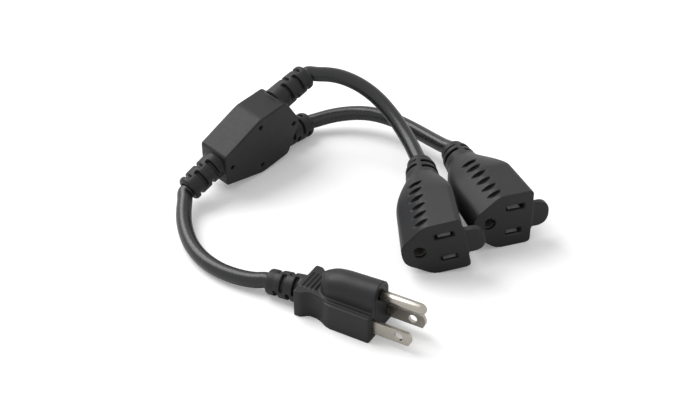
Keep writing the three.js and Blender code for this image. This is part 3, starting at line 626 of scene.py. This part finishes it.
def build_junction(black):
    outline = rounded([(x, -z, r) for x, z, r in JUNCTION_HALF] + [JUNCTION_TIP] + JUNCTION_HALF[::-1])
    thick = JUNCTION_THICKNESS / 2
    block = prism(outline, "y", -thick, thick)
    centre = (0, 0, 0)
    ends = [moved(relief("junction"), centre, (0, -SUPPLY_DROOP, 0))]
    for side, angle in OUTLETS:
        quarter_turned = moved(relief("junction"), centre, (0, 0, 90))
        ends.append(moved(quarter_turned, (OUTLET_AT, 0, side * OUTLET_SIDE), (0, 180 - angle, 0)))
    holes = []
    for x, z in PIN_MARKS:
        for side in (-1, 1):
            hole = bar(PIN_MARK_RADIUS, -PIN_MARK_DEPTH, PIN_MARK_DEPTH, sides=24)
            holes.append(moved(hole, (x, side * thick, z), (90, 0, 0)))
    body = combine("junction_body", block, added=ends, removed=holes)
    body = softened(body, "junction_shell", "junction")
    finish_piece(placed(body, "junction"), black, "junction_body")


# Connectors

HALF_HEIGHT = 13.6
SLOT_SIDE = 8.5
GROUND_SIDE = 19.5
CHAMFER_START = 8.0
CORNER = 2.4
LEAST_CORNER = 0.6
APEX_HALF = 4.6
APEX_SHARE = 0.4
APEX_CORNER = 3.4
SHELL_STEPS = 44
SHELL_FILL = 1.2
SHOULDER = 24.0
SHOULDER_POWER = 2.0
SHOULDER_SKEW = 0.35
DRAFT = 0.05
NECK = 44.5
NECK_RADIUS = 7.9
AXIS_OFFSET = -4.5
WALL = 2.2
FACE_WALL = 1.0
POCKET_EDGE = 7.0
POCKET_LENGTH = 22.3
POCKET_ROOM = 0.3
# Z and length of the neutral slot and of the line slot
SLOTS = [(6.35, 8.2), (-6.35, 6.7)]
SLOT_HALF = 1.1
SLOT_LEAD_IN = 0.9
SLOT_LEAD_DEPTH = 0.75
SLOT_LEAD_PAST = 0.15
GROUND_HOLE_RADIUS = 2.75
GROUND_HOLE_FLAT = 1.9
GROUND_LEAD_IN = 0.5
GROUND_LEAD_DEPTH = 0.4
GROUND_LEAD_PAST = 0.1
TAB_HALF = 6.2
TAB_CORNER = 5.9
TAB_ROOT = 6.5
TAB_END = 16.7
TAB_FRONT = 0.4
TAB_BACK = 3.4
GRIP_COUNT = 6
GRIP_START = 5.6
GRIP_PITCH = 5.6
GRIP_RADIUS = 9.0
GRIP_DEPTH = 2.5
GRIP_RAMP = 2.1
GRIP_WIDTH = 2.9
GRIP_LEAN = 58


def connector_outline(inset=0.0, edge=3.0, fill=0):
    high, side, apex = HALF_HEIGHT - inset, SLOT_SIDE - inset, GROUND_SIDE - inset
    flat = APEX_HALF - inset * APEX_SHARE
    corner = max(LEAST_CORNER, CORNER - inset)
    return rounded([
        (side, -high, corner), (side, high, corner), (-CHAMFER_START, high, edge), (-apex, flat, APEX_CORNER),
        (-apex, -flat, APEX_CORNER), (-CHAMFER_START, -high, edge),
    ], fill=fill)


def shouldered(back, u, v):
    """A point of the straight body after the draft and the shoulder, as in the CAD."""
    middle = (SLOT_SIDE - GROUND_SIDE) / 2
    half = (SLOT_SIDE + GROUND_SIDE) / 2
    scale = 1 - DRAFT * back / SHOULDER
    y, z = middle + (u - middle) * scale, v * scale
    along = max(0.0, (back - SHOULDER) / (NECK - SHOULDER))
    share = along ** (SHOULDER_POWER - SHOULDER_SKEW * (1 + (u - middle) / half))
    turn = math.atan2(z, y - middle)
    neck_y = AXIS_OFFSET + NECK_RADIUS * math.cos(turn)
    neck_z = NECK_RADIUS * math.sin(turn)
    return (-back, y + (neck_y - y) * share, z + (neck_z - z) * share)


def connector_shell():
    outline = connector_outline(fill=SHELL_FILL)
    return loft("shell", [
        [shouldered(NECK * s / SHELL_STEPS, u, v) for u, v in outline] for s in range(SHELL_STEPS + 1)
    ])


def grip_grooves():
    """Crescents across the two long edges, each with a steep wall behind and a ramp in front."""
    lean = math.radians(GRIP_LEAN)
    reach = GRIP_RADIUS - GRIP_DEPTH
    grooves = []
    for i in range(GRIP_COUNT):
        wall = -(GRIP_START + i * GRIP_PITCH)
        front = wall + GRIP_WIDTH
        for side in (-1, 1):
            _, y, z = shouldered(-wall, -CHAMFER_START, side * HALF_HEIGHT)
            disc = turned([(wall, 0), (wall, GRIP_RADIUS), (front, GRIP_RADIUS - GRIP_RAMP), (front, 0)])
            grooves.append(moved(disc, (0, y - reach * math.cos(lean), z + side * reach * math.sin(lean))))
    return grooves


def ground_hole(grow=0.0, sides=40):
    """Outline of the round hole with a flat on its far side, grown on every side."""
    radius, flat = GROUND_HOLE_RADIUS + grow, GROUND_HOLE_FLAT + grow
    half = math.acos(flat / radius)
    turns = [-math.pi + half + (2 * math.pi - 2 * half) * i / sides for i in range(sides + 1)]
    return [(-GROUND_OFFSET + radius * math.cos(t), radius * math.sin(t)) for t in turns]


def build_connector(name, black):
    shell = connector_shell()
    tab_outline = rounded([
        (TAB_ROOT, -TAB_HALF, 0), (TAB_END, -TAB_HALF, TAB_CORNER), (TAB_END, TAB_HALF, TAB_CORNER),
        (TAB_ROOT, TAB_HALF, 0),
    ], arc=14)
    tab = prism(tab_outline, "x", -TAB_BACK, -TAB_FRONT)
    strain = moved(relief("connector"), (-NECK, AXIS_OFFSET, 0))
    pocket_outline = connector_outline(WALL, POCKET_EDGE)
    pocket = prism(pocket_outline, "x", -FACE_WALL - POCKET_LENGTH, -FACE_WALL + POCKET_ROOM)
    removed = [pocket, *grip_grooves()]
    for z, length in SLOTS:
        half, high = length / 2, SLOT_HALF
        opening = rectangle(-half, half, z - high, z + high)
        half, high = half + SLOT_LEAD_IN, high + SLOT_LEAD_IN
        grown = rectangle(-half, half, z - high, z + high)
        removed.append(prism(opening, "x", -FACE_WALL - CUT_PAST, CUT_PAST))
        removed.append(taper(opening, grown, -SLOT_LEAD_DEPTH, SLOT_LEAD_PAST))
    removed.append(prism(ground_hole(), "x", -FACE_WALL - CUT_PAST, CUT_PAST))
    removed.append(taper(
        ground_hole(), ground_hole(GROUND_LEAD_IN), -GROUND_LEAD_DEPTH, GROUND_LEAD_PAST,
    ))
    body = combine(name + "_solid", shell, added=[tab, strain], removed=removed)
    body = softened(body, name + "_shell", "connector")
    finish_piece(placed(body, name), black, name + "_body")


# Cords


def smooth_route(points, pieces=8):
    """Points of a centripetal Catmull-Rom curve, as the CAD's tubes follow."""
    p = [np.array(q) for q in points]
    p = [2 * p[0] - p[1], *p, 2 * p[-1] - p[-2]]
    result = []
    for i in range(1, len(p) - 2):
        knots = [0.0]
        for k in range(3):
            knots.append(knots[-1] + np.linalg.norm(p[i + k] - p[i + k - 1]) ** 0.5)
        for s in range(pieces):
            t = knots[1] + (knots[2] - knots[1]) * s / pieces
            level = [p[i - 1], p[i], p[i + 1], p[i + 2]]
            a = [((knots[k + 1] - t) * level[k] + (t - knots[k]) * level[k + 1]) / (knots[k + 1] - knots[k])
                 for k in range(3)]
            b = [((knots[k + 2] - t) * a[k] + (t - knots[k]) * a[k + 1]) / (knots[k + 2] - knots[k])
                 for k in range(2)]
            result.append(((knots[2] - t) * b[0] + (t - knots[1]) * b[1]) / (knots[2] - knots[1]))
    result.append(p[-2])
    return result


def add_cords(material):
    """Cords along the CAD's routes, each end run on into its relief's recess."""
    for name, points in ROUTES.items():
        line = smooth_route(points)
        for end, inner in ((0, 1), (-1, -2)):
            outward = line[end] - line[inner]
            line[end] = line[end] + outward / np.linalg.norm(outward) * CORD_INTO_RELIEF * MM
        curve = bpy.data.curves.new(name + "_shown", "CURVE")
        curve.dimensions = "3D"
        curve.bevel_depth = CORD_RADIUS * MM
        curve.bevel_resolution = 8
        curve.use_fill_caps = True
        spline = curve.splines.new("POLY")
        spline.points.add(len(line) - 1)
        for point, place in zip(spline.points, line):
            point.co = (*place, 1)
        spline.use_smooth = True
        obj = bpy.data.objects.new(name + "_shown", curve)
        bpy.context.scene.collection.objects.link(obj)
        curve.materials.append(material)
        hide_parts(name)
        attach(obj, "root")


# Stage and light

FLOOR_HALF = 6.0
FLOOR_GREY = 0.9
# What the floor adds of its own where the camera sees it
FLOOR_GLOW = 0.2
# World strength on the object; the camera, reflections and transmission see it at 1
FILL_STRENGTH = 0.6
SOFTBOX_AT = (-0.85, 0.6, 1.25)
SOFTBOX_SIZE = 1.2
SOFTBOX_POWER = 23


def add_stage():
    outline = rectangle(-FLOOR_HALF, FLOOR_HALF, -FLOOR_HALF, FLOOR_HALF)
    floor = new_object("floor", [(x, y, 0) for x, y in outline], [(0, 1, 2, 3)])
    material, shader = make_material("floor", (FLOOR_GREY,) * 3, 0.8, specular=0.1)
    grain = noise(material, 30, 2)
    ranged(material, grain, shader.inputs["Roughness"], 0.75, 0.9)
    nodes, links = material.node_tree.nodes, material.node_tree.links
    rays = nodes.new("ShaderNodeLightPath")
    glow = nodes.new("ShaderNodeMath")
    glow.operation = "MULTIPLY"
    glow.inputs[1].default_value = FLOOR_GLOW
    links.new(rays.outputs["Is Camera Ray"], glow.inputs[0])
    links.new(glow.outputs["Value"], shader.inputs["Emission Strength"])
    shader.inputs["Emission Color"].default_value = (1, 1, 1, 1)
    floor.data.materials.append(material)


def add_softbox():
    """Square area lamp aimed at the row frame's centre."""
    data = bpy.data.lights.new("softbox", "AREA")
    data.shape = "RECTANGLE"
    data.size = data.size_y = SOFTBOX_SIZE
    data.energy = SOFTBOX_POWER
    light = bpy.data.objects.new("softbox", data)
    light.location = SOFTBOX_AT
    light.rotation_euler = (-Vector(SOFTBOX_AT)).to_track_quat("-Z", "Y").to_euler()
    bpy.context.scene.collection.objects.link(light)


def add_world():
    world = bpy.data.worlds.new("studio")
    bpy.context.scene.world = world
    world.use_nodes = True
    nodes, links = world.node_tree.nodes, world.node_tree.links
    background = nodes["Background"]
    background.inputs["Color"].default_value = (1, 1, 1, 1)
    rays = nodes.new("ShaderNodeLightPath")
    seen = rays.outputs["Is Camera Ray"]
    for kind in ("Is Glossy Ray", "Is Transmission Ray"):
        either = nodes.new("ShaderNodeMath")
        either.operation = "MAXIMUM"
        links.new(seen, either.inputs[0])
        links.new(rays.outputs[kind], either.inputs[1])
        seen = either.outputs["Value"]
    strength = nodes.new("ShaderNodeMapRange")
    strength.inputs["To Min"].default_value = FILL_STRENGTH
    strength.inputs["To Max"].default_value = 1.0
    links.new(seen, strength.inputs["Value"])
    links.new(strength.outputs["Result"], background.inputs["Strength"])


# Build

add_camera()
add_cords(cord_black())
black = moulded_black()
metal = plated("nickel", (0.43, 0.4, 0.355), 0.24, 0.38, stretch=(1, 1, 6))
contact = plated("contact_metal", (0.66, 0.645, 0.615), 0.42, 0.56, metallic=0.6)
# A darker copy of the contact metal for the ground contact: painted shade deep in the ground hole
contact_painted_shade = plated("contact_painted_shade", (0.3, 0.29, 0.27), 0.4, 0.55, metallic=0.8)
grey = inner_grey()
build_plug(black, metal)
build_junction(black)
build_connector("connector_a", black)
build_connector("connector_b", black)

LEAD_COLOURS = {
    "line": insulation("line_insulation", (0.015, 0.015, 0.016)),
    "neutral": insulation("neutral_insulation", (0.7, 0.69, 0.64)),
    "ground": insulation("ground_insulation", (0.04, 0.2, 0.08)),
}
for name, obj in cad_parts.items():
    if name.endswith("_lead"):
        chosen = LEAD_COLOURS[name.split("_")[-2]]
    elif name.endswith("_ground_contact"):
        # the ground contact takes the darker copy, painted shade for its deep hole
        chosen = contact_painted_shade
    elif name.endswith(("_splice", "_contact")):
        chosen = contact
    elif name.endswith(("_carrier", "_bridge")):
        chosen = grey
    else:
        continue
    obj.data.materials.clear()
    obj.data.materials.append(chosen)

add_stage()
add_world()
add_softbox()

bpy.context.scene.view_settings.view_transform = "Standard"
